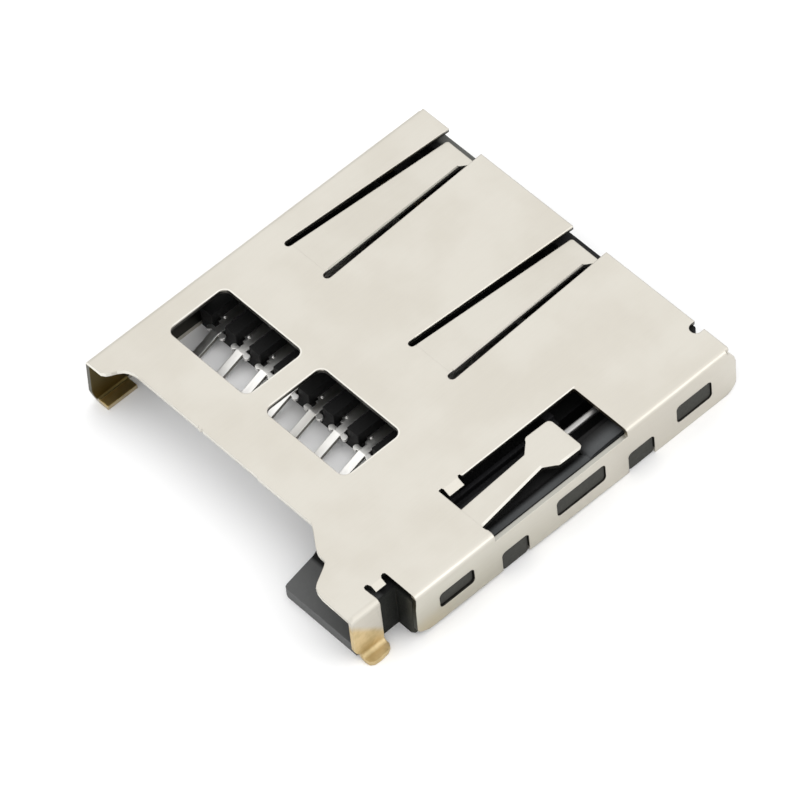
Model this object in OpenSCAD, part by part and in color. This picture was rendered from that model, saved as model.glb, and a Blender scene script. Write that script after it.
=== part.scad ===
// Push-push connector for a small removable memory card, 1.1 mm contact pitch.
// All lengths in millimetres. Origin: centre of the outline on the board plane.
// +Z up from the board, +Y the way the card goes in, +X the side with the eject mechanism.
// A stamped metal shell with two hold-down fingers and a follower spring covers a moulded
// housing, which holds eight contacts, a detect switch and the spring-loaded slider.

/* [Shell] */
// overall width across the two side walls
body_w = 13.6; // [13.5:0.1:13.8]
// overall depth, from the front prong to the back edge
body_l = 14.7; // [14.6:0.1:14.8]
// height above the board
body_h = 2.02; // [2.0:0.01:2.06]
// sheet thickness
sheet_t = 0.15; // [0.13:0.01:0.16]
// outside radius of the bend between the top and a side wall
bend_r = 0.17; // [0.17:0.01:0.24]
// how far the tips of the two hold-down fingers stand below the top
finger_drop = 0.21; // [0.12:0.01:0.22]
// how far the head of the follower spring stands below the top
arm_drop = 0.10; // [0.06:0.01:0.10]
// radius of the window corners
window_r = 0.27; // [0.15:0.01:0.35]
// radius of the corners of the slots in the side walls
slot_r = 0.16; // [0.10:0.01:0.22]

/* [Housing] */
// thickness of the moulded floor
floor_t = 0.42; // [0.38:0.01:0.44]
// height of the ribs that the card slides on
rib_h = 0.92; // [0.86:0.01:0.94]
// gap between the moulding and the shell's side walls
side_gap = 0.03; // [0.02:0.01:0.05]
// height of the rear wall below the finger tips
rear_low_h = 1.60; // [1.50:0.01:1.62]
// height of the rear wall elsewhere
rear_high_h = 1.84; // [1.75:0.01:1.84]
// height of the rail beside the eject spring
rail_h = 1.57; // [1.54:0.01:1.60]

/* [Contacts] */
// distance between neighbouring contacts
pitch = 1.10; // [1.08:0.01:1.12]
// centre of the first contact, on the left
first_x = -5.76; // [-5.80:0.01:-5.72]
// width of a contact's solder tail
blade_w = 0.28; // [0.24:0.01:0.36]
// width of a contact's sprung beam
beam_w = 0.48; // [0.44:0.01:0.50]
// thickness of the contact strip
strip_t = 0.12; // [0.10:0.01:0.13]
// width of the groove round each contact
groove_w = 0.62; // [0.58:0.02:0.66]
// height of the contact point above the board
contact_top = 1.14; // [1.08:0.01:1.18]

/* [Eject mechanism] */
// full travel of the slider, latched travel plus overtravel
travel = 4.5; // [4.3:0.1:4.5]
// distance that the slider goes back from full travel to its latched place
release = 0.5; // [0.4:0.05:0.6]
// diameter of the follower wire
pin_d = 0.22; // [0.20:0.01:0.23]
// height of the follower wire's centre line
pin_z = 1.61; // [1.60:0.01:1.61]
// place across the connector of the follower's pivot
pivot_x = 5.32; // [5.31:0.01:5.33]
// place along the connector of the follower's pivot
pivot_y = 6.40; // [6.38:0.01:6.42]
// distance from the follower's pivot to its tip
pin_reach = 5.30; // [5.28:0.01:5.32]
// angle that the follower swings through in the cam track
swing = 6; // [5:0.5:6]
// wire diameter of the eject spring
wire_d = 0.13; // [0.11:0.01:0.14]
// outside diameter of the eject spring
coil_d = 0.79; // [0.74:0.01:0.80]
// number of turns of the eject spring
turns = 22; // [18:1:24]

/* [Hidden] */
hw = body_w / 2;
hl = body_l / 2;
inx = hw - sheet_t;               // inner face of a side wall
hx = inx - side_gap;              // outer face of the moulding
top_in = body_h - sheet_t;        // underside of the top
front_y = -5.69;                  // main front edge of the top
prong_x = 6.13;                   // outer face of the front prong's side
prong_back = -6.23;               // back edge of the front prong
wall_front = -5.43;               // front edge of the right wall and of the top beside it
wall_top = body_h - bend_r;       // where the flat of a side wall meets the bend
house_back = hl - 0.02;           // back face of the moulding
house_front = -2.10;              // front edge of the floor below the windows
ledge_front = -7.15;              // front edge of the floor on the mechanism side
step_y = -5.46;                   // where the moulding gets its full width
finger_c = [-4.885, 0.655];       // centre lines of the two fingers
finger_root = 0.89;
finger_tip = 7.09;
arm_root = -2.315;                // front end of the slot left of the follower spring
latch_front = -2.27;              // front end of the slot right of it
latch_back = 3.10;                // back edge of the latch window
latch_wall = 1.73;                // height of the right wall along the latch window
root_dip = 0.004;                 // how far the roots of the bent-down strips start below the top's surface
groove_lo = 1.14;                 // floor of the cam track
slide_top = 1.38;
slide_x0 = 4.50;
slide_x1 = 5.60;
slide_y0 = -4.10;
slide_y1 = 1.50;
lane_r = pin_d / 2 + 0.025;
tip_x = pivot_x;
tip_x2 = pivot_x - pin_reach * sin(swing);
tip_y = pivot_y - pin_reach;
spring_x = 6.03;
spring_z = 0.92;
spring_y0 = slide_y0 + 0.36;
spring_y1 = 6.84;
$fn = 48;

// ---------- flat shapes ----------

// rectangle between two corners with round corners
module rrect(x0, y0, x1, y1, r) {
    translate([x0 + r, y0]) square([x1 - x0 - 2 * r, y1 - y0]);
    translate([x0, y0 + r]) square([x1 - x0, y1 - y0 - 2 * r]);
    for (x = [x0 + r, x1 - r], y = [y0 + r, y1 - r]) translate([x, y]) circle(r);
}

// box between two corners
module box(a, b) { translate(a) cube(b - a); }

// a flat shape in the Y-Z plane, extruded along +X from x0
module along_x(x0, len) { translate([x0, 0, 0]) rotate([90, 0, 90]) linear_extrude(len) children(); }

// a flat shape in the X-Z plane, extruded along +Y from y0
module along_y(y0, len) { translate([0, y0 + len, 0]) rotate([90, 0, 0]) linear_extrude(len) children(); }

// ---------- shell ----------

// section of the bend between the top and a side wall, outer face at xo
module bend_section(xo) {
    translate([xo - bend_r, wall_top]) intersection() {
        difference() { circle(bend_r); circle(bend_r - sheet_t); }
        square([bend_r + 1, bend_r + 1]);
    }
}

// outline of the top, seen from above
module top_outline() {
    fy = front_y;
    difference() {
        polygon([
            // curve over the left front foot
            [-hw + bend_r, -6.40], [-6.11, -6.39], [-5.97, -6.30], [-5.88, -6.16],
            [-5.80, -6.00], [-5.68, -5.84], [-5.54, -5.76], [-5.38, fy - 0.02], [-5.22, fy],
            // main front edge, with the burr where the strip carrier was cut off
            [-2.54, fy], [-2.50, fy + 0.05], [-2.46, fy - 0.02], [-2.36, fy - 0.02], [-2.32, fy + 0.05], [-2.28, fy],
            [0.16, fy], [0.22, fy - 0.03], [2.55, fy - 0.03],
            // curve out to the prong
            [2.66, -5.76], [2.82, -5.86], [3.24, -6.16], [3.40, -6.26], [3.56, -6.33], [3.70, -6.355], [3.83, -6.36],
            [3.93, -6.40], [4.02, -6.52], [4.12, -6.70], [4.32, -7.07], [4.42, -7.20], [4.58, -7.28], [4.84, -hl + 0.02],
            [prong_x - bend_r, -hl], [prong_x - bend_r, prong_back],
            // notch behind the prong, with the root of the stop tab between two relief cuts
            [5.50, -6.25], [5.43, -6.22], [5.40, -6.15], [5.43, -6.08], [5.53, -6.05],
            [5.53, -5.62], [5.47, -5.58], [5.44, -5.50], [5.48, -5.44], [5.58, wall_front],
            [hw - bend_r, wall_front], [hw - bend_r, hl], [-hw + bend_r, hl]]);
        rrect(-5.875, -3.93, -2.295, -1.595, window_r);
        rrect(-1.515, -3.93, 2.053, -1.60, window_r);
        for (c = finger_c) finger_opening(c);
        latch_window();
        // locating notch in the back edge
        rrect(5.27, hl - 0.35, 5.69, hl + 0.45, 0.20);
    }
}

// edges of a finger and of its opening, measured from the finger's centre line, at a place along the connector
function open_l(y) = -0.98 + 0.33 * (y - finger_root) / 6.5;
function open_r(y) = 1.05 - 0.25 * (y - finger_root) / 6.5;
function finger_l(y) = -0.735 + 0.275 * (y - finger_root) / (finger_tip - finger_root);
function finger_r(y) = 0.775 - 0.265 * (y - finger_root) / (finger_tip - finger_root);

// opening round one hold-down finger: it runs out through the back edge
module finger_opening(c) {
    y0 = finger_root;
    y1 = finger_root + 0.04;
    y2 = hl + 0.1;
    polygon([[c + open_l(y0), y0], [c + finger_l(y0), y0], [c + finger_l(y1), y1],
             [c + finger_r(y1), y1], [c + finger_r(y0), y0], [c + open_r(y0), y0],
             [c + open_r(y2), y2], [c + open_l(y2), y2]]);
    translate([c + (open_l(y0) + finger_l(y0)) / 2, y0]) circle((finger_l(y0) - open_l(y0)) / 2);
    translate([c + (open_r(y0) + finger_r(y0)) / 2, y0]) circle((open_r(y0) - finger_r(y0)) / 2);
}

// one hold-down finger, bent down towards its tip, which is flared on the right; its root starts inside the top
module finger(c) {
    y0 = finger_root + 0.02;
    y1 = finger_root + 0.08;
    run = finger_tip - y0;
    flare = finger_tip - 0.45;
    translate([0, y0, body_h - root_dip]) rotate([-asin((finger_drop - root_dip) / run), 0, 0]) difference() {
        translate([0, 0, -sheet_t]) linear_extrude(sheet_t)
            polygon([[c + finger_l(y0) + 0.02, 0], [c + finger_r(y0) - 0.02, 0], [c + finger_r(y1), y1 - y0],
                     [c + finger_r(flare), flare - y0], [c + 0.66, run - 0.27], [c + 0.73, run - 0.18], [c + 0.74, run - 0.07],
                     [c + 0.67, run], [c - 0.40, run + 0.01], [c - 0.46, run - 0.05], [c + finger_l(y1), y1 - y0]]);
        // rolled-over right edge
        coin([c + finger_r(y1 + 0.1), y1 + 0.1 - y0], [c + finger_r(flare), flare - y0], 0.05, 0.05, 0);
    }
}

// opening over the follower wire, with relief cuts beside the guide tab
module latch_window() {
    polygon([[4.50, -1.42], [4.47, -1.45], [4.40, -1.47], [4.40, -1.53], [4.46, -1.56],
             [4.46, -2.17], [4.40, -2.19], [4.40, arm_root + 0.03], [4.43, arm_root], [5.40, arm_root],
             [6.312, arm_root], [6.44, arm_root + 0.01], [6.52, latch_front], [hw + 0.2, latch_front],
             [hw + 0.2, latch_back], [4.55, latch_back], [4.50, latch_back - 0.05]]);
}

// spring arm that presses on the follower wire, rooted at the front of its window
module follower_arm() {
    y0 = arm_root - 0.02;
    run = 1.2 - y0;
    translate([0, y0, body_h - root_dip]) rotate([-asin((arm_drop - root_dip) / run), 0, 0])
        translate([0, -y0, -sheet_t]) linear_extrude(sheet_t) {
            polygon([[5.40, y0], [6.312, y0], [5.935, 0.44], [6.225, 0.90],
                     [6.225, 1.30], [4.76, 1.30], [4.76, 0.90], [5.22, 0.40]]);
            rrect(4.76, 0.76, 6.225, 1.85, 0.17);
        }
}

// back end of a side wall, seen from the side, from the board up to the bend
function wall_end() = [
    [hl - 0.35, 0], [hl - 0.19, 0.02], [hl - 0.03, 0.09], [hl + 0.09, 0.20], [hl + 0.15, 0.32], [hl + 0.17, 0.45],
    [hl + 0.19, 1.31], [hl + 0.13, 1.57], [hl + 0.02, wall_top - 0.10], [hl - 0.05, wall_top - 0.03], [hl - 0.13, wall_top]];

// right wall: its lower edge clears the board in front and comes down to it at the back
module right_wall_outline() {
    difference() {
        polygon(concat([
            [wall_front, wall_top], [wall_front - 0.01, 1.68], [-5.47, 1.45], [-5.49, 0.47], [-5.44, 0.36], [-5.34, 0.28], [-5.22, 0.22],
            [-5.08, 0.15], [-4.90, 0.12], [-2.00, 0.10], [-1.00, 0.09], [1.00, 0.065], [3.10, 0.02], [3.90, 0]],
            wall_end()));
        // closed slots
        rrect(-4.56, 0.65, -3.17, 1.295, slot_r);
        rrect(0.16, 0.56, 2.145, 1.30, slot_r);
        rrect(5.07, 0.50, 6.52, 1.265, slot_r);
        // notches open to the board
        rrect(-2.08, -0.5, -1.00, 0.905, slot_r);
        rrect(3.06, -0.5, 4.13, 0.855, slot_r);
    }
}

module left_wall_outline() {
    difference() {
        polygon(concat([[-6.40, wall_top], [-6.45, 0.62], [-6.42, 0.48], [-6.31, 0.12], [-6.28, 0]], wall_end()));
        rrect(-1.70, 0.60, -0.30, 1.25, slot_r);
        rrect(5.10, 0.55, 6.50, 1.25, slot_r);
        rrect(1.60, -0.5, 2.60, 0.85, slot_r);
    }
}

// bend over a side wall, nicked at its back corner
module wall_bend(y0) {
    difference() {
        along_y(y0, hl - y0) bend_section(hw);
        box([hw - 0.09, hl - 0.13, wall_top - 0.1], [hw + 0.1, hl + 0.1, body_h + 0.1]);
    }
}

// coined edge: takes the upper corner off the straight edge from a to b in a face at height z, w wide and d deep
module coin(a, b, w, d, z = body_h) {
    translate([a[0], a[1], z]) rotate([0, 0, atan2(b[1] - a[1], b[0] - a[0])])
        along_x(0, norm(b - a)) polygon([[-0.1, -d * (w + 0.1) / w], [w + 0.1, 0.1 * d / w], [w + 0.1, 0.3], [-0.1, 0.3]]);
}

module shell() color([0.86, 0.85, 0.80]) {
    // top and the front prong's side, with the prong's coined front edge
    difference() {
        union() {
            translate([0, 0, top_in]) linear_extrude(sheet_t) top_outline();
            along_y(-hl, hl + prong_back) bend_section(prong_x);
        }
        coin([4.50, -hl], [prong_x + 0.1, -hl], 0.17, 0.07);
        // rolled-over left edge of the second finger's opening
        coin([finger_c[1] + open_l(1.1), 1.1], [finger_c[1] + open_l(hl + 0.1), hl + 0.1], 0.025, 0.025);
    }
    along_x(prong_x - sheet_t, sheet_t) polygon([[-hl, wall_top], [-hl, 0.60], [-7.30, 0.44], [-7.14, 0.30],
                                                 [prong_back, 0.30], [prong_back, wall_top]]);
    for (c = finger_c) finger(c);
    follower_arm();
    // right side wall; the latch window runs over its bend
    difference() {
        union() {
            along_x(hw - sheet_t, sheet_t) right_wall_outline();
            wall_bend(wall_front);
        }
        box([hw - bend_r, latch_front, latch_wall], [hw + 1, latch_back, body_h + 1]);
    }
    // left side wall and its front solder foot, bent inwards
    along_x(-hw, sheet_t) left_wall_outline();
    mirror([1, 0, 0]) wall_bend(-6.40);
    linear_extrude(sheet_t) polygon([[-inx - 0.02, -6.28], [-6.20, -6.28], [-6.20, -5.10], [-inx - 0.02, -5.10]]);
    along_y(-6.28, 1.18) difference() {
        translate([-inx - 0.02, sheet_t - 0.05]) square([0.14, 0.17]);
        translate([-inx + 0.12, sheet_t + 0.12]) circle(0.13);
    }
    // the prong's solder foot, bent outwards
    along_y(-7.14, 0.90) translate([prong_x - sheet_t + 0.30, 0.30]) intersection() {
        difference() { circle(0.30); circle(0.30 - sheet_t); }
        translate([-0.4, -0.4]) square([0.4, 0.4]);
    }
    linear_extrude(sheet_t) polygon([[prong_x - sheet_t + 0.30, -7.14], [6.44, -7.12], [6.54, -7.00], [6.56, -6.75], [6.52, -6.45],
                                     [6.44, -6.30], [6.34, -6.24], [prong_x - sheet_t + 0.30, -6.24]]);
    // small stop tab, bent down beside the front notch
    translate([5.53, 0, body_h]) rotate([0, 24, 0]) box([0, -6.04, -sheet_t], [0.24, -5.63, 0]);
    // small guide tab, bent down at the front left of the latch window
    translate([4.46, 0, body_h]) rotate([0, 24, 0]) box([0, -2.16, -sheet_t], [0.295, -1.57, 0]);
}

// ---------- housing ----------

module floor_outline() {
    polygon([[-hx, house_front], [2.40, house_front], [2.40, -5.40], [2.545, -5.80],
             [2.75, ledge_front + 0.12], [2.79, ledge_front + 0.035], [2.88, ledge_front],
             [5.90, ledge_front], [5.90, step_y], [hx, step_y], [hx, house_back], [-hx, house_back]]);
}

module contact_grooves() {
    for (i = [0:7]) box([first_x + i * pitch - groove_w / 2, house_front - 0.1, floor_t],
                        [first_x + i * pitch + groove_w / 2, 4.60, rib_h + 0.1]);
}

module housing() color([0.16, 0.16, 0.17]) difference() {
    union() {
        // floor, with the ledge that runs out to the front on the mechanism side
        linear_extrude(floor_t) floor_outline();
        // card bed
        box([-hx, house_front, floor_t - 0.01], [4.44, 6.50, rib_h]);
        box([2.40, -4.20, floor_t - 0.01], [4.44, house_front + 0.01, rib_h]);
        // rear wall, stepped back above the card's nose
        box([-hx, 6.43, floor_t - 0.01], [2.30, house_back, 1.28]);
        box([-hx, 6.72, 1.27], [2.30, house_back, rear_low_h]);
        box([2.20, 6.86, floor_t - 0.01], [4.70, house_back, rear_low_h]);
        box([-3.75, 6.72, rear_low_h - 0.01], [-0.60, house_back - 0.12, rear_high_h]);
        box([1.75, 6.90, rear_low_h - 0.01], [4.70, house_back - 0.12, rear_high_h]);
        box([-hx + 0.1, 6.72, rear_low_h - 0.01], [-5.95, house_back - 0.12, rear_high_h - 0.1]);
        // front block of the mechanism bay
        box([4.50, -6.50, floor_t - 0.01], [5.90, -4.25, 1.68]);
        box([4.50, step_y, floor_t - 0.01], [hx, -4.25, 1.68]);
        // outer wall, the rail with a round shoulder, and the thin roof that keeps the spring down
        box([6.46, step_y, floor_t - 0.01], [hx, house_back, 1.37]);
        along_y(-4.30, 11.20) polygon([[6.05, 1.36], [hx, 1.36], [hx, rail_h], [6.32, rail_h], [6.22, rail_h - 0.03],
                                       [6.14, rail_h - 0.08], [6.08, rail_h - 0.15]]);
        box([slide_x1 + 0.04, -4.30, 1.345], [6.20, 6.90, 1.45]);
        // wedge that backs the latch window's rear corner
        along_x(5.92, 0.58) polygon([[1.80, 1.40], [3.30, 1.40], [3.30, 1.70], [2.60, 1.69], [2.10, 1.65], [1.88, 1.60], [1.80, 1.54]]);
        // rear block of the mechanism bay, with the follower's seat and the post below the locating notch
        box([4.90, 6.08, floor_t - 0.01], [5.62, house_back, 1.36]);
        box([4.68, 6.86, floor_t - 0.01], [5.62, house_back, 1.36]);
        box([5.60, 6.86, floor_t - 0.01], [hx, house_back, rail_h]);
        translate([5.31, hl - 0.18, 1.30]) cylinder(h = 0.56, r = 0.13);
        // snap bosses in the closed slots of the shell
        boss(hx, 1, -4.56, -3.17, 0.65, 1.295, 0.10);
        boss(hx, 1, 0.16, 2.145, 0.56, 1.30, 0.13);
        boss(hx, 1, 5.07, 6.52, 0.50, 1.265, 0.13);
        boss(hx, -1, -1.70, -0.30, 0.60, 0.96, 0.08);
        // keys in the notches that are open to the board
        boss(hx, 1, -2.08, -1.00, 0, 0.905, 0.12);
        boss(hx, 1, 3.06, 4.13, 0, 0.855, 0.12);
        boss(hx, -1, 1.60, 2.60, 0, 0.85, 0.08);
        boss(hx, -1, 5.10, 6.50, 0.55, 0.96, 0.08);
    }
    // chamfer below the outer front corner
    along_y(step_y - 0.1, 0.56) polygon([[6.42, -0.01], [6.8, -0.01], [6.8, 0.20], [6.60, 0.14]]);
    contact_grooves();
    // pocket of the card-detect switch, and the ways out for its two terminals
    box([-6.50, 4.95, floor_t], [-2.55, 5.60, 2]);
    box([-2.99, 5.5, floor_t], [-2.57, house_back + 1, floor_t + strip_t + 0.02]);
    box([-6.49, 5.5, floor_t], [-6.01, house_back + 1, floor_t + strip_t + 0.02]);
    // seat of the follower's rear leg
    translate([pivot_x, pivot_y, 0.85]) cylinder(h = 1, d = pin_d + 0.06);
}

// a snap boss that stands out from the side of the moulding, a little smaller than its slot
module boss(x, s, y0, y1, z0, z1, out) {
    g = 0.03;
    along_x(s > 0 ? x - 0.05 : -x - out, out + 0.05) rrect(y0 + g, z0 + g, y1 - g, z1 - g, min(slot_r - g, 0.14));
}

// ---------- slider and cam track ----------

module cam_track() {
    difference() {
        rrect(tip_x2 - lane_r, tip_y - travel - 0.22, tip_x + lane_r, tip_y + 0.22, 0.12);
        cam_island();
    }
}

// heart-shaped island: the follower rests in its front notch when the card is latched
module cam_island() {
    xa = tip_x2 + lane_r;
    xb = tip_x - lane_r;
    xm = (xa + xb) / 2;
    yl = tip_y - travel + release;
    polygon([[xa, yl - 0.06], [xa + 0.04, yl - 0.10], [xm, yl + 0.12], [xb - 0.04, yl - 0.10], [xb, yl - 0.06],
             [xb, tip_y - 0.75], [xm, tip_y - 0.35], [xa, tip_y - 0.75]]);
}

module slider() color([0.10, 0.10, 0.11]) difference() {
    union() {
        box([slide_x0, slide_y0, floor_t + 0.03], [slide_x1, slide_y1, slide_top]);
        // side flange that carries the card nose
        box([slide_x0, slide_y1 - 0.01, 1.00], [4.78, 2.20, slide_top]);
        linear_extrude_at(1.00, 0.55) polygon([[2.75, 1.95], [2.90, 1.90], [slide_x0 + 0.05, 1.90], [slide_x0 + 0.05, 2.20], [2.75, 2.20]]);
        // hook that bears on the card's shoulder
        linear_extrude_at(1.00, 0.55) polygon([[3.85, -3.30], [slide_x0 + 0.05, -3.30], [slide_x0 + 0.05, -1.70], [3.45, -1.70], [3.45, -2.70]]);
        // lug that the eject spring pushes on
        box([slide_x1 - 0.01, slide_y0, 0.50], [6.42, slide_y0 + 0.35, 1.32]);
    }
    translate([0, 0, groove_lo]) linear_extrude(1) cam_track();
}

module linear_extrude_at(z, h) { translate([0, 0, z]) linear_extrude(h) children(); }

// ---------- follower wire ----------

module cam_pin() color([0.80, 0.80, 0.82]) {
    r = pin_d / 2;
    rb = 0.20;
    translate([pivot_x, tip_y + rb, pin_z]) rotate([-90, 0, 0]) cylinder(h = pin_reach - 2 * rb, r = r);
    translate([pivot_x, tip_y + rb, pin_z - rb]) rotate([90, 0, 90]) rotate([0, 0, 90]) wire_bend(rb, r);
    translate([pivot_x, pivot_y - rb, pin_z - rb]) rotate([90, 0, 90]) wire_bend(rb, r);
    translate([pivot_x, tip_y, groove_lo + 0.04]) cylinder(h = pin_z - rb - groove_lo - 0.04, r = r);
    translate([pivot_x, pivot_y, 0.92]) cylinder(h = pin_z - rb - 0.92, r = r);
}

// a quarter turn of round wire
module wire_bend(rb, r) { rotate_extrude(angle = 90) translate([rb, 0]) circle(r); }

// ---------- eject spring ----------

coil_steps = 14;
coil_sides = 6;
// distance along the spring as a function of the turn number: close turns at both ends
function coil_y(t) =
    let (c = wire_d * 1.06, n = turns, free = spring_y1 - spring_y0 - wire_d - 2 * c)
    t < 1 ? c * t : t > n - 1 ? c + free + c * (t - n + 1) : c + free * (t - 1) / (n - 2);

function coil_ring(k) =
    let (t = k / coil_steps, a = 360 * t, y = spring_y0 + wire_d / 2 + coil_y(t),
         rm = (coil_d - wire_d) / 2)
    [for (j = [0:coil_sides - 1])
        let (b = 360 * j / coil_sides, rr = rm + wire_d / 2 * cos(b), yy = y + wire_d / 2 * sin(b))
        [spring_x + rr * cos(a), yy, spring_z + rr * sin(a)]];

module eject_spring() color([0.72, 0.72, 0.74]) {
    n = turns * coil_steps;
    m = coil_sides;
    pts = [for (k = [0:n]) each coil_ring(k)];
    sides = [for (k = [0:n - 1], j = [0:m - 1])
        [k * m + j, k * m + (j + 1) % m, (k + 1) * m + (j + 1) % m, (k + 1) * m + j]];
    caps = [[for (j = [m - 1:-1:0]) j], [for (j = [0:m - 1]) n * m + j]];
    polyhedron(points = pts, faces = concat(sides, caps), convexity = 10);
}

// ---------- contacts ----------

// side view of a contact's solder tail: flat foot on the board, gentle slope up to the floor
module tail_profile() {
    t = strip_t;
    polygon([[-3.60, 0], [-3.27, 0], [-2.22, floor_t], [-1.80, floor_t], [-1.80, floor_t + t],
             [-2.26, floor_t + t], [-3.31, t], [-3.60, t]]);
}

// side view of its anchored part, sprung beam and contact point
module beam_profile() {
    t = strip_t;
    zt = contact_top;
    polygon([[-1.92, floor_t], [-0.90, floor_t],
             [3.40, zt - t - 0.05], [3.62, zt - t - 0.01], [3.80, zt - t - 0.01], [4.00, zt - t - 0.06], [4.32, zt - t - 0.24],
             [4.40, zt - 0.17], [4.05, zt - 0.03], [3.82, zt], [3.60, zt], [3.36, zt - 0.05],
             [-0.93, floor_t + t], [-1.92, floor_t + t]]);
}

module card_contact(i) color([0.85, 0.82, 0.72]) {
    x = first_x + (i - 1) * pitch;
    along_x(x - blade_w / 2, blade_w) tail_profile();
    along_x(x - beam_w / 2, beam_w) beam_profile();
    // round shoulders at the edge of the floor, and the anchored part that fills its groove
    linear_extrude_at(floor_t + 0.01, strip_t - 0.02) {
        for (s = [-1, 1]) translate([x + s * 0.28, -2.225]) circle(0.11);
        translate([x - 0.28, -2.28]) square([0.56, 0.16]);
    }
    box([x - groove_w / 2, -1.78, floor_t], [x + groove_w / 2, -1.00, floor_t + strip_t]);
    // small raised stud that locks it in its groove
    translate([x - 0.23, -1.66, floor_t + strip_t - 0.01]) cylinder(h = 0.06, r1 = 0.075, r2 = 0.045);
}

module contact_1() card_contact(1);
module contact_2() card_contact(2);
module contact_3() card_contact(3);
module contact_4() card_contact(4);
module contact_5() card_contact(5);
module contact_6() card_contact(6);
module contact_7() card_contact(7);
module contact_8() card_contact(8);

// ---------- card-detect switch ----------

// sprung blade across the back of the card bed, pressed down by the card
module detect_blade() color([0.80, 0.68, 0.42]) {
    t = strip_t;
    along_y(5.10, 0.35) polygon([
        [-2.62, floor_t], [-2.62, floor_t + t], [-3.06, floor_t + t], [-5.20, 1.06], [-5.42, 1.12], [-5.62, 1.12],
        [-5.82, 1.05], [-6.12, 0.82], [-6.06, 0.72], [-5.78, 0.93], [-5.60, 1.00], [-5.44, 1.00], [-5.24, 0.94], [-3.04, floor_t]]);
    box([-2.97, 5.44, floor_t], [-2.62, house_back + 0.02 + t, floor_t + t]);
    box([-2.97, house_back + 0.02, 0], [-2.62, house_back + 0.02 + t, floor_t + t]);
}

// fixed strip below the free end of the blade
module detect_terminal() color([0.80, 0.68, 0.42]) {
    t = strip_t;
    box([-6.43, 5.10, floor_t], [-5.90, 5.50, floor_t + 0.08]);
    box([-6.43, 5.10, floor_t], [-6.08, house_back + 0.02 + t, floor_t + t]);
    box([-6.43, house_back + 0.02, 0], [-6.08, house_back + 0.02 + t, floor_t + t]);
}

shell();
housing();
slider();
cam_pin();
eject_spring();
contact_1();
contact_2();
contact_3();
contact_4();
contact_5();
contact_6();
contact_7();
contact_8();
detect_blade();
detect_terminal();
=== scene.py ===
"""Looks for the push-push memory card connector: metals, mouldings, spring wire, floor, light and camera."""
import math

import bmesh
import bpy
from mathutils import Matrix, Vector


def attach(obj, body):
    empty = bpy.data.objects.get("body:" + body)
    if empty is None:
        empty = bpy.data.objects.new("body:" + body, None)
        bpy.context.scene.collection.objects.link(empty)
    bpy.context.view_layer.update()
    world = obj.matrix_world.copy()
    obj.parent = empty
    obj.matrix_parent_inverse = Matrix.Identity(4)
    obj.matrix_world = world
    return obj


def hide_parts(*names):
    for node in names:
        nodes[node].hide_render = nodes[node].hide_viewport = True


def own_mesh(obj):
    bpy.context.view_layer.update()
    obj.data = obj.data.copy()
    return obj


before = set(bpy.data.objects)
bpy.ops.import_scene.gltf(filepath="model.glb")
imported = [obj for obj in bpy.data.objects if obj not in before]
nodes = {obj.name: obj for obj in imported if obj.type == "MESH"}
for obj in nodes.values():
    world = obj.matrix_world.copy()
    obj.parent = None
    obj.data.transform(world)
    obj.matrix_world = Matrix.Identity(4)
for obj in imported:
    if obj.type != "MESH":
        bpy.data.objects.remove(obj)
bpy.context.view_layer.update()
MM = 0.001


# ---------- material helpers ----------

def new_material(name):
    mat = bpy.data.materials.new(name)
    mat.use_nodes = True
    tree = mat.node_tree
    tree.nodes.clear()
    out = tree.nodes.new("ShaderNodeOutputMaterial")
    bsdf = tree.nodes.new("ShaderNodeBsdfPrincipled")
    tree.links.new(bsdf.outputs["BSDF"], out.inputs["Surface"])
    return mat, tree, bsdf


def position(tree, scale=(1, 1, 1)):
    """Object coordinates in millimetres, stretched by scale."""
    tc = tree.nodes.new("ShaderNodeTexCoord")
    m = tree.nodes.new("ShaderNodeMapping")
    m.inputs["Scale"].default_value = tuple(1000.0 * s for s in scale)
    tree.links.new(tc.outputs["Object"], m.inputs["Vector"])
    return m.outputs["Vector"]


def split(tree, vector):
    sep = tree.nodes.new("ShaderNodeSeparateXYZ")
    tree.links.new(vector, sep.inputs[0])
    return sep.outputs


def normals(tree):
    return split(tree, tree.nodes.new("ShaderNodeTexCoord").outputs["Normal"])


def noise(tree, vector, scale, detail=3.0, rough=0.55):
    n = tree.nodes.new("ShaderNodeTexNoise")
    n.noise_dimensions = "3D"
    n.inputs["Scale"].default_value = scale
    n.inputs["Detail"].default_value = detail
    n.inputs["Roughness"].default_value = rough
    tree.links.new(vector, n.inputs["Vector"])
    return n.outputs["Fac"]


def map_range(tree, value, a, b, c, d, smooth=False):
    m = tree.nodes.new("ShaderNodeMapRange")
    m.interpolation_type = "SMOOTHSTEP" if smooth else "LINEAR"
    for key, v in (("From Min", a), ("From Max", b), ("To Min", c), ("To Max", d)):
        m.inputs[key].default_value = v
    tree.links.new(value, m.inputs["Value"])
    return m.outputs["Result"]


def above(tree, value, a, b):
    """0 below a, 1 above b."""
    return map_range(tree, value, a, b, 0, 1)


def below(tree, value, a, b):
    """1 below a, 0 above b."""
    return map_range(tree, value, a, b, 1, 0)


def math_node(tree, op, a, b=None):
    m = tree.nodes.new("ShaderNodeMath")
    m.operation = op
    for i, v in enumerate((a, b)):
        if v is None:
            continue
        if isinstance(v, (int, float)):
            m.inputs[i].default_value = v
        else:
            tree.links.new(v, m.inputs[i])
    return m.outputs["Value"]


def times(tree, *values):
    out = values[0]
    for v in values[1:]:
        out = math_node(tree, "MULTIPLY", out, v)
    return out


def either(tree, a, b):
    return math_node(tree, "MAXIMUM", a, b)


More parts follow.
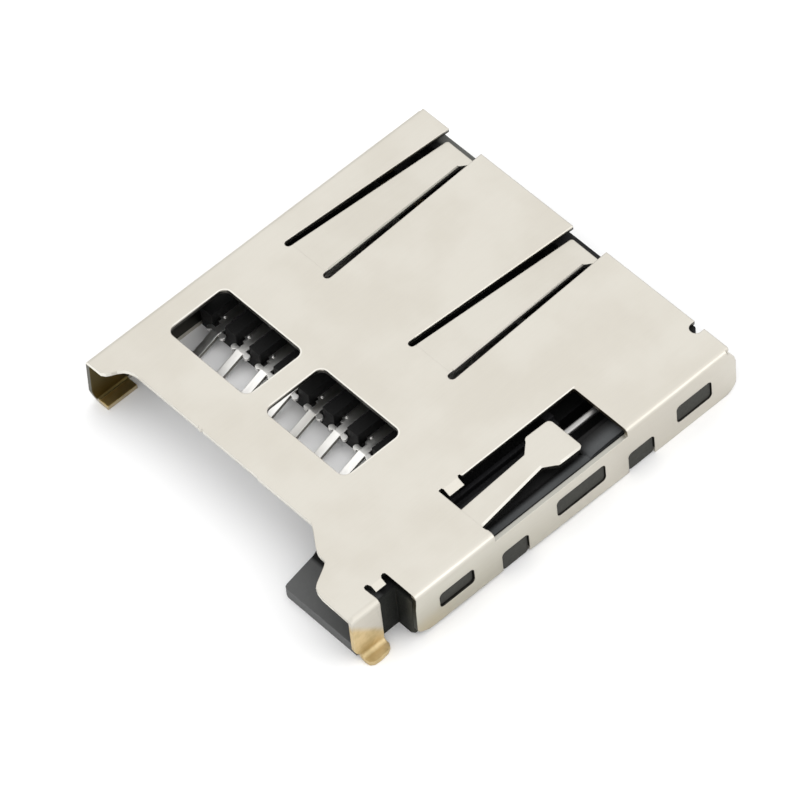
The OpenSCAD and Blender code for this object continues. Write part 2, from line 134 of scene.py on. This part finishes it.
def round_band(tree, x, y, x0, y0, x1, y1, r, width):
    """A band of the given width just outside a rectangular opening with round corners."""
    def over(v, lo, hi):
        return math_node(tree, "SUBTRACT", math_node(tree, "ABSOLUTE", math_node(tree, "SUBTRACT", v, (lo + hi) / 2)),
                         (hi - lo) / 2 - r)
    qx, qy = over(x, x0, x1), over(y, y0, y1)
    px, py = math_node(tree, "MAXIMUM", qx, 0.0), math_node(tree, "MAXIMUM", qy, 0.0)
    out = math_node(tree, "SQRT", math_node(tree, "ADD", times(tree, px, px), times(tree, py, py)))
    return below(tree, math_node(tree, "SUBTRACT", out, r), width * 0.6, width)


def mix_colour(tree, fac, a, b):
    m = tree.nodes.new("ShaderNodeMix")
    m.data_type = "RGBA"
    tree.links.new(fac, m.inputs["Factor"])
    for sock, v in ((m.inputs[6], a), (m.inputs[7], b)):
        if isinstance(v, tuple):
            sock.default_value = v + (1.0,)
        else:
            tree.links.new(v, sock)
    return m.outputs[2]


def bump(tree, bsdf, height, strength, distance, edge_mm=0.0):
    """Surface relief; edge_mm softens sharp edges by that radius."""
    b = tree.nodes.new("ShaderNodeBump")
    b.inputs["Strength"].default_value = strength
    b.inputs["Distance"].default_value = distance
    tree.links.new(height, b.inputs["Height"])
    if edge_mm:
        e = tree.nodes.new("ShaderNodeBevel")
        e.samples = 6
        if isinstance(edge_mm, float):
            e.inputs["Radius"].default_value = edge_mm * MM
        else:
            tree.links.new(edge_mm, e.inputs["Radius"])
        tree.links.new(e.outputs["Normal"], b.inputs["Normal"])
    tree.links.new(b.outputs["Normal"], bsdf.inputs["Normal"])


# ---------- materials ----------

def shell_material():
    """Nickel-plated sheet: pale and satin with a faint rolling grain, painted shade on the sheared edges and inner
    faces, painted highlights on some edges and window rims, gold flash on the solder feet."""
    mat, tree, bsdf = new_material("nickel_sheet")
    bsdf.inputs["Metallic"].default_value = 1.0
    pos = position(tree)
    x, y, z = split(tree, pos)
    nx, ny, nz = normals(tree)
    ax = math_node(tree, "ABSOLUTE", x)
    flat_z = math_node(tree, "ABSOLUTE", nz)
    flat_x = math_node(tree, "ABSOLUTE", nx)
    grain = noise(tree, position(tree, (9.0, 0.55, 9.0)), 1.6, 4.0, 0.6)
    cloud = noise(tree, pos, 0.42, 3.0, 0.5)
    col = mix_colour(tree, map_range(tree, cloud, 0.35, 0.65, 0, 1, True),
                     (0.572, 0.543, 0.482), (0.604, 0.578, 0.519))

    # painted shade on the right wall: darker towards its front end and towards its bottom, with a warmer painted shade
    # at its lower front corner
    right_wall = times(tree, above(tree, nx, 0.80, 0.95), above(tree, x, 6.70, 6.75), below(tree, z, 1.80, 1.84))
    wall_shade_amount = map_range(tree, y, -4.5, 4.0, 1, 0, True)
    painted_wall_shade = mix_colour(tree, map_range(tree, z, 0.4, 1.6, 0, 1), (0.462, 0.440, 0.370), (0.575, 0.555, 0.490))
    col = mix_colour(tree, times(tree, right_wall, wall_shade_amount), col, painted_wall_shade)
    warm_corner_shade = times(tree, map_range(tree, y, -5.2, -3.6, 1, 0, True), map_range(tree, z, 0.25, 1.0, 1, 0, True))
    col = mix_colour(tree, times(tree, right_wall, warm_corner_shade), col, (0.485, 0.432, 0.318))

    # gold flash on the lower part of the prong, higher up towards its front
    wob = map_range(tree, noise(tree, pos, 2.2, 2.0), 0, 1, -0.07, 0.07)
    prong = times(tree, above(tree, x, 5.90, 5.97), below(tree, y, -6.15, -6.10))
    lift = map_range(tree, y, -7.3, -6.2, 0.0, 1.04)
    low_r = map_range(tree, math_node(tree, "ADD", math_node(tree, "ADD", z, lift), wob), 1.48, 1.86, 1, 0, True)
    gold = mix_colour(tree, map_range(tree, noise(tree, pos, 2.2, 2.0), 0.25, 0.75, 0, 1, True),
                      (0.500, 0.395, 0.210), (0.700, 0.565, 0.335))
    col = mix_colour(tree, times(tree, low_r, prong), col, gold)

    # painted shade on the inner faces, the walls seen from inside and the underside of the top, darker higher up and
    # browner at the front;
    # after it, gold flash on the upper face of the left foot and a duller gold-brown on its side faces
    inner_wall = times(tree, below(tree, math_node(tree, "MULTIPLY", x, nx), -5.0, -4.5), below(tree, z, 1.86, 1.87),
                       above(tree, z, 0.16, 0.17))
    under = times(tree, below(tree, nz, -0.6, -0.4), above(tree, z, 1.45, 1.50))
    # the underside of the bar between the two windows is left out of the painted shade, as it is lit from both of them
    bar = times(tree, above(tree, x, -2.40, -2.30), below(tree, x, -1.50, -1.40), above(tree, y, -4.00, -3.90),
                below(tree, y, -1.60, -1.50))
    under = times(tree, under, map_range(tree, bar, 0, 1, 1.0, 0.0))
    painted_inner_shade = mix_colour(tree, map_range(tree, z, 0.25, 1.10, 0, 1, True), (0.040, 0.037, 0.028), (0.010, 0.009, 0.007))
    painted_inner_shade = mix_colour(tree, map_range(tree, y, -5.6, -5.0, 0, 1, True), (0.105, 0.080, 0.028), painted_inner_shade)
    col = mix_colour(tree, either(tree, inner_wall, under), col, painted_inner_shade)
    foot_zone = times(tree, below(tree, z, 0.2, 0.3), below(tree, x, -6.0, -5.9))
    foot = times(tree, above(tree, nz, 0.5, 0.6), foot_zone)
    foot_tone = mix_colour(tree, noise(tree, pos, 2.6, 2.0), (0.74, 0.52, 0.16), (0.96, 0.74, 0.35))
    col = mix_colour(tree, foot, col, foot_tone)
    col = mix_colour(tree, times(tree, foot_zone, below(tree, flat_z, 0.4, 0.5), above(tree, x, -6.64, -6.60)), col,
                     (0.50, 0.42, 0.28))

    # painted shade on the sheared edges of the cut-outs in the top, but not on its outer front edge
    on_top = times(tree, above(tree, z, 1.735, 1.745), below(tree, ax, 6.60, 6.62), below(tree, flat_z, 0.35, 0.5),
                   above(tree, y, -6.22, -6.12))
    front_zone = below(tree, y, -5.35, -5.25)
    back_of_latch = times(tree, above(tree, y, 2.9, 3.0), above(tree, x, 4.3, 4.4), below(tree, y, 3.3, 3.4))
    soft_edge = either(tree, front_zone, back_of_latch)
    tone = map_range(tree, noise(tree, position(tree, (3.0, 3.0, 9.0)), 2.0, 2.0), 0.2, 0.8, 0.8, 1.0)
    # the right-hand cut edges of the two fingers are rolled over; their cut faces get a painted highlight instead of
    # the painted edge shade
    across = math_node(tree, "ADD", x, map_range(tree, y, 0.9, 7.1, 0.0, 0.26))
    rolled = either(tree, times(tree, above(tree, across, -4.30, -4.28), below(tree, across, -3.98, -3.96)),
                    times(tree, above(tree, across, 1.24, 1.26), below(tree, across, 1.56, 1.58)))
    rolled = times(tree, rolled, above(tree, y, 0.86, 0.96))
    lit = times(tree, rolled, above(tree, nx, 0.4, 0.6))
    # the upper part of every other cut edge that faces right is left out of the painted edge shade
    upper = times(tree, above(tree, nx, 0.4, 0.6), above(tree, z, 1.955, 1.965), below(tree, x, 5.0, 5.1))
    painted_edge_shade = times(tree, on_top, tone, map_range(tree, either(tree, either(tree, soft_edge, lit), upper), 0, 1, 1.0, 0.0))
    # a lighter, brownish painted shade on the sheared back edge of the latch window
    soft = times(tree, on_top, back_of_latch)
    # painted shade on the cut faces of the openings in the side walls
    on_wall = times(tree, below(tree, z, 1.70, 1.72), above(tree, z, 0.20, 0.25), below(tree, flat_x, 0.35, 0.5),
                    above(tree, ax, 6.5, 6.6), above(tree, y, -5.35, -5.25), below(tree, y, 7.0, 7.1))
    col = mix_colour(tree, painted_edge_shade, col, (0.040, 0.038, 0.034))
    # painted highlight on the fingers' right-hand cut faces
    col = mix_colour(tree, lit, col, (0.88, 0.86, 0.80))
    # painted shade on the fingers' rolled faces, darker on the left finger
    roll = times(tree, rolled, above(tree, nx, 0.5, 0.6), above(tree, flat_z, 0.5, 0.6))
    painted_roll_shade = mix_colour(tree, above(tree, x, 0.0, 0.5), (0.34, 0.33, 0.29), (0.43, 0.41, 0.37))
    col = mix_colour(tree, roll, col, painted_roll_shade)
    col = mix_colour(tree, soft, col, (0.150, 0.122, 0.088))
    col = mix_colour(tree, times(tree, on_wall, tone), col, (0.055, 0.052, 0.046))
    # painted shade in the stop notch at the front right: dark grey, near black on its face towards the front
    notch = times(tree, above(tree, z, 1.735, 1.745), below(tree, flat_z, 0.35, 0.5), above(tree, x, 5.35, 5.40),
                  above(tree, y, -6.30, -6.26), below(tree, y, -5.35, -5.30), below(tree, x, 6.60, 6.62),
                  either(tree, below(tree, x, 5.90, 5.95), above(tree, math_node(tree, "ABSOLUTE", ny), 0.5, 0.7)))
    notch_painted_shade = mix_colour(tree, times(tree, below(tree, ny, -0.7, -0.5), above(tree, y, -5.62, -5.58)),
                            (0.120, 0.120, 0.110), (0.022, 0.022, 0.018))
    col = mix_colour(tree, notch, col, notch_painted_shade)
    # painted shade on the front cut face of the right wall
    front_cut = times(tree, below(tree, ny, -0.7, -0.5), above(tree, x, 6.60, 6.62), below(tree, y, -5.30, -5.20),
                      below(tree, z, 1.86, 1.90))
    col = mix_colour(tree, front_cut, col, (0.070, 0.070, 0.055))
    # painted shade on the front cut face of the left wall
    left_cut = times(tree, below(tree, ny, -0.5, -0.3), below(tree, x, -6.60, -6.55), below(tree, z, 1.84, 1.88),
                     above(tree, z, 0.16, 0.20))
    col = mix_colour(tree, left_cut, col, (0.100, 0.098, 0.080))
    # dark brown painted shade in the crease where the left wall turns into its foot
    fillet = times(tree, below(tree, z, 0.31, 0.33), above(tree, nx, 0.10, 0.15), above(tree, flat_z, 0.05, 0.10),
                   below(tree, x, -6.42, -6.40))
    col = mix_colour(tree, fillet, col, (0.150, 0.112, 0.042))
    # painted shade on the upward-facing cut faces of the side walls below the top
    ledge = times(tree, above(tree, nz, 0.85, 0.95), above(tree, ax, 6.60, 6.64), above(tree, z, 1.4, 1.5),
                  below(tree, z, 1.735, 1.74))
    col = mix_colour(tree, ledge, col, (0.40, 0.39, 0.35))

    # painted highlights along the rims of the windows, but not along their front edges, along the latch window's left
    # edge, and along the spring arm's right edge and head
    face = times(tree, above(tree, nz, 0.9, 0.95), above(tree, z, 1.90, 1.92))
    rims = either(tree, round_band(tree, x, y, -5.875, -3.93, -2.295, -1.595, 0.27, 0.060),
                  round_band(tree, x, y, -1.515, -3.93, 2.053, -1.60, 0.27, 0.060))
    rims = times(tree, rims, above(tree, y, -3.75, -3.60))
    latch = times(tree, above(tree, y, -1.5, -1.4), below(tree, y, 3.14, 3.16), above(tree, x, 4.45, 4.46),
                  below(tree, x, 4.50, 4.51))
    edge = math_node(tree, "ADD", x, map_range(tree, y, -2.335, 0.44, 0.0, 0.377))
    arm = times(tree, above(tree, edge, 6.205, 6.225), below(tree, edge, 6.33, 6.34), above(tree, y, -2.30, -2.20),
                below(tree, y, 0.44, 0.50))
    head = times(tree, above(tree, x, 6.12, 6.14), above(tree, y, 0.95, 1.0), below(tree, y, 1.8, 1.85), below(tree, x, 6.24, 6.26))
    painted_rim_highlight = times(tree, face, either(tree, either(tree, rims, latch), either(tree, arm, head)))
    col = mix_colour(tree, painted_rim_highlight, col, (0.74, 0.72, 0.66))

    # a painted highlight on the front edge of the top
    front_edge_highlight = times(tree, below(tree, ny, -0.6, -0.4), above(tree, z, 1.86, 1.88), below(tree, y, -5.60, -5.55),
                below(tree, x, 5.30, 5.35))
    col = mix_colour(tree, front_edge_highlight, col, (0.80, 0.78, 0.71))
    # a brownish painted shade on the small front-facing cut face of the right wall at the back end of the latch window
    lip = times(tree, below(tree, ny, -0.7, -0.5), above(tree, x, 6.58, 6.60), above(tree, y, 3.0, 3.05),
                below(tree, y, 3.2, 3.25), above(tree, z, 1.60, 1.65))
    col = mix_colour(tree, lip, col, (0.30, 0.26, 0.19))

    tree.links.new(col, bsdf.inputs["Base Color"])
    rough = math_node(tree, "ADD", map_range(tree, grain, 0.25, 0.75, 0.33, 0.45), map_range(tree, prong, 0, 1, 0.0, 0.18))
    tree.links.new(rough, bsdf.inputs["Roughness"])
    bump(tree, bsdf, grain, 0.10, 0.00002, 0.04)
    return mat


def plastic_material(name, dark, light, rough_lo, rough_hi, specular, grain_scale=9.0, strength=0.25, housing=False):
    """Glass-filled black moulding: fine matt grain and slight flow marks. The housing carries painted shade, blackest
    inside and a little darker on its bosses, and painted light, greyer on its rail, wedge, front ledge and a strip at
    the back."""
    mat, tree, bsdf = new_material(name)
    bsdf.inputs["Specular IOR Level"].default_value = specular
    pos = position(tree)
    fine = noise(tree, pos, grain_scale, 4.0, 0.65)
    flow = noise(tree, position(tree, (0.9, 0.35, 1.4)), 1.3, 3.0, 0.5)
    col = mix_colour(tree, map_range(tree, flow, 0.3, 0.7, 0, 1, True), dark, light)
    if housing:
        x, y, z = split(tree, pos)
        # painted light on the front ledge, which lies out in the open
        ledge = times(tree, below(tree, y, -5.60, -5.50), below(tree, x, 5.80, 5.86), below(tree, z, 1.0, 1.1))
        col = mix_colour(tree, ledge, col, (0.112, 0.114, 0.113))
        # painted shade: near black inside the shell
        inside = times(tree, above(tree, y, -5.95, -5.82), below(tree, math_node(tree, "ABSOLUTE", x), 6.60, 6.64))
        col = mix_colour(tree, inside, col, (0.007, 0.007, 0.007))
        # painted shade in the front right corner, darkest further in
        corner = times(tree, below(tree, y, -5.40, -5.35), above(tree, x, 5.80, 5.86))
        corner_painted_shade = mix_colour(tree, map_range(tree, x, 6.25, 6.60, 0, 1, True), (0.010, 0.011, 0.009), (0.032, 0.032, 0.024))
        col = mix_colour(tree, corner, col, corner_painted_shade)
        # painted shade: the bosses in the wall slots are a little darker
        boss = above(tree, math_node(tree, "ABSOLUTE", x), 6.62, 6.63)
        col = mix_colour(tree, boss, col, (0.034, 0.034, 0.029))
        # painted light on a strip along the top of the back wall at its left end
        strip = times(tree, above(tree, y, 6.95, 7.10), below(tree, x, -3.6, -3.4), above(tree, z, 1.35, 1.45))
        col = mix_colour(tree, strip, col, (0.100, 0.101, 0.094))
        # painted light on the rail and the wedge by the latch window, fading to black towards the inside
        wedge = times(tree, above(tree, y, 1.70, 2.00), map_range(tree, x, 5.94, 6.36, 0, 1, True))
        rail = times(tree, above(tree, z, 1.47, 1.55), above(tree, y, -4.30, -4.20), below(tree, y, 3.6, 4.0),
                     either(tree, map_range(tree, x, 6.16, 6.42, 0, 1, True), wedge), below(tree, x, 6.50, 6.53))
        col = mix_colour(tree, rail, col, (0.064, 0.067, 0.069))
    tree.links.new(col, bsdf.inputs["Base Color"])
    tree.links.new(map_range(tree, fine, 0.25, 0.75, rough_lo, rough_hi), bsdf.inputs["Roughness"])
    bump(tree, bsdf, fine, strength, 0.00003, 0.04)
    return mat


def contact_material(name, tail, beam):
    """Plated copper-alloy strip: bright tinned tail in front, duller beam behind."""
    mat, tree, bsdf = new_material(name)
    bsdf.inputs["Metallic"].default_value = 1.0
    pos = position(tree)
    x, y, z = split(tree, pos)
    back = map_range(tree, y, -2.0, -1.0, 0, 1, True)
    lines = noise(tree, position(tree, (8, 0.6, 8)), 1.4, 2.0, 0.5)
    col = mix_colour(tree, back, tail, beam)
    # painted shade on the side faces of the tails
    sheared = times(tree, above(tree, math_node(tree, "ABSOLUTE", normals(tree)[0]), 0.7, 0.9), below(tree, y, -2.30, -2.25))
    col = mix_colour(tree, sheared, col, (0.20, 0.19, 0.17))
    tree.links.new(col, bsdf.inputs["Base Color"])
    tree.links.new(map_range(tree, lines, 0.3, 0.7, 0.30, 0.40), bsdf.inputs["Roughness"])
    bump(tree, bsdf, lines, 0.01, 0.000002, 0.03)
    return mat


def wire_material():
    """Drawn steel wire with lines along its length."""
    mat, tree, bsdf = new_material("spring_wire")
    bsdf.inputs["Metallic"].default_value = 1.0
    lines = noise(tree, position(tree, (14, 0.8, 14)), 1.5, 3.0)
    tree.links.new(mix_colour(tree, lines, (0.30, 0.30, 0.29), (0.42, 0.41, 0.40)), bsdf.inputs["Base Color"])
    tree.links.new(map_range(tree, lines, 0.3, 0.7, 0.34, 0.46), bsdf.inputs["Roughness"])
    bump(tree, bsdf, lines, 0.08, 0.00001)
    return mat


def floor_material():
    """White card with a barely visible tooth."""
    mat, tree, bsdf = new_material("white_card")
    bsdf.inputs["Roughness"].default_value = 0.9
    bsdf.inputs["Specular IOR Level"].default_value = 0.1
    pos = position(tree)
    n = noise(tree, pos, 0.15, 2.0)
    col = mix_colour(tree, n, (0.93, 0.93, 0.93), (0.95, 0.95, 0.95))
    tree.links.new(col, bsdf.inputs["Base Color"])
    return mat


def assign(obj, mat):
    if not obj.material_slots:
        obj.data.materials.append(mat)
    for s in obj.material_slots:
        s.material = mat


shell_mat = shell_material()
housing_mat = plastic_material("black_moulding", (0.044, 0.045, 0.045), (0.058, 0.059, 0.060), 0.55, 0.72, 0.22,
                               housing=True)
# the slider's near-black colour, darker than the housing, is painted shade, as it lies inside the shell
slider_mat = plastic_material("slider_moulding", (0.008, 0.008, 0.009), (0.012, 0.012, 0.013), 0.45, 0.6, 0.2, 12.0, 0.18)
contact_mat = contact_material("plated_strip", (0.86, 0.85, 0.82), (0.56, 0.55, 0.52))
detect_mat = contact_material("bronze_strip", (0.74, 0.52, 0.26), (0.70, 0.52, 0.28))
wire_mat = wire_material()

for name, mat in (("shell", shell_mat), ("housing", housing_mat), ("slider", slider_mat), ("cam_pin", wire_mat),
                  ("detect_blade", detect_mat), ("detect_terminal", detect_mat)):
    assign(nodes[name], mat)
for i in range(1, 9):
    assign(nodes["contact_%d" % i], contact_mat)


# ---------- eject spring: a smooth round wire in place of the faceted one ----------

def coil(name):
    x0, z0, y0, y1 = 6.03, 0.92, -3.74, 6.84
    wire, outer, turns = 0.13, 0.79, 22
    rm = (outer - wire) / 2
    close = wire * 1.06
    free = y1 - y0 - wire - 2 * close
    steps, sides = 40, 12
    bm = bmesh.new()
    rings = []
    n = turns * steps
    for k in range(n + 1):
        t = k / steps
        if t < 1:
            y = close * t
        elif t > turns - 1:
            y = close + free + close * (t - turns + 1)
        else:
            y = close + free * (t - 1) / (turns - 2)
        y += y0 + wire / 2
        a = 2 * math.pi * t
        ring = []
        for j in range(sides):
            b = 2 * math.pi * j / sides
            rr = rm + wire / 2 * math.cos(b)
            ring.append(bm.verts.new(((x0 + rr * math.cos(a)) * MM, (y + wire / 2 * math.sin(b)) * MM,
                                      (z0 + rr * math.sin(a)) * MM)))
        rings.append(ring)
    for r0, r1 in zip(rings, rings[1:]):
        for j in range(sides):
            bm.faces.new((r0[j], r0[(j + 1) % sides], r1[(j + 1) % sides], r1[j]))
    bm.faces.new(rings[0][::-1])
    bm.faces.new(rings[-1])
    bmesh.ops.recalc_face_normals(bm, faces=bm.faces)
    me = bpy.data.meshes.new(name)
    bm.to_mesh(me)
    bm.free()
    for p in me.polygons:
        p.use_smooth = len(p.vertices) == 4
    ob = bpy.data.objects.new(name, me)
    bpy.context.scene.collection.objects.link(ob)
    me.materials.append(wire_mat)
    return ob


spring = coil("eject_coil")
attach(spring, "base")
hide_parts("eject_spring")
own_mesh(spring)


# ---------- floor, light, camera ----------

def plane(name, size, z):
    me = bpy.data.meshes.new(name)
    s = size / 2
    me.from_pydata([(-s, -s, z), (s, -s, z), (s, s, z), (-s, s, z)], [], [(0, 1, 2, 3)])
    ob = bpy.data.objects.new(name, me)
    bpy.context.scene.collection.objects.link(ob)
    return ob


floor = plane("floor", 3.0, -0.00001)
floor.data.materials.append(floor_material())

# a studio that is bright overhead and dimmer towards the horizon
world = bpy.data.worlds.new("studio")
bpy.context.scene.world = world
world.use_nodes = True
wt = world.node_tree
sky = split(wt, wt.nodes.new("ShaderNodeTexCoord").outputs["Generated"])
wt.links.new(map_range(wt, sky[2], 0.0, 1.0, 0.80, 1.50), wt.nodes["Background"].inputs["Strength"])
wt.nodes["Background"].inputs["Color"].default_value = (1.0, 1.0, 1.0, 1.0)


def area(name, at, size, watts, colour=(1, 1, 1)):
    li = bpy.data.lights.new(name, "AREA")
    li.shape = "SQUARE"
    li.size = size
    li.energy = watts
    li.color = colour
    ob = bpy.data.objects.new(name, li)
    ob.location = at
    ob.rotation_mode = "QUATERNION"
    ob.rotation_quaternion = (-Vector(at)).to_track_quat("-Z", "Y")
    bpy.context.scene.collection.objects.link(ob)
    return ob


# soft box behind and to the right, which draws the highlight along the right bend
area("softbox_right", (0.114, 0.056, 0.070), 0.100, 0.040)

cam = bpy.data.cameras.new("camera")
cam.sensor_fit = "HORIZONTAL"
cam.sensor_width = 36.0
cam.lens = 306.62
cam.clip_start = 0.01
cam.clip_end = 20.0
cam_ob = bpy.data.objects.new("camera", cam)
right = Vector((0.6755201, 0.73364384, -0.07375169))
up = Vector((-0.55177431, 0.56932489, 0.60943768))
back = Vector((0.48909887, -0.37099312, 0.78939622))
rot = Matrix((right, up, back)).transposed().to_4x4()
cam_ob.matrix_world = Matrix.Translation((0.1001786, -0.0759562, 0.1619083)) @ rot
bpy.context.scene.collection.objects.link(cam_ob)
bpy.context.scene.camera = cam_ob
bpy.context.scene.view_settings.view_transform = "Standard"
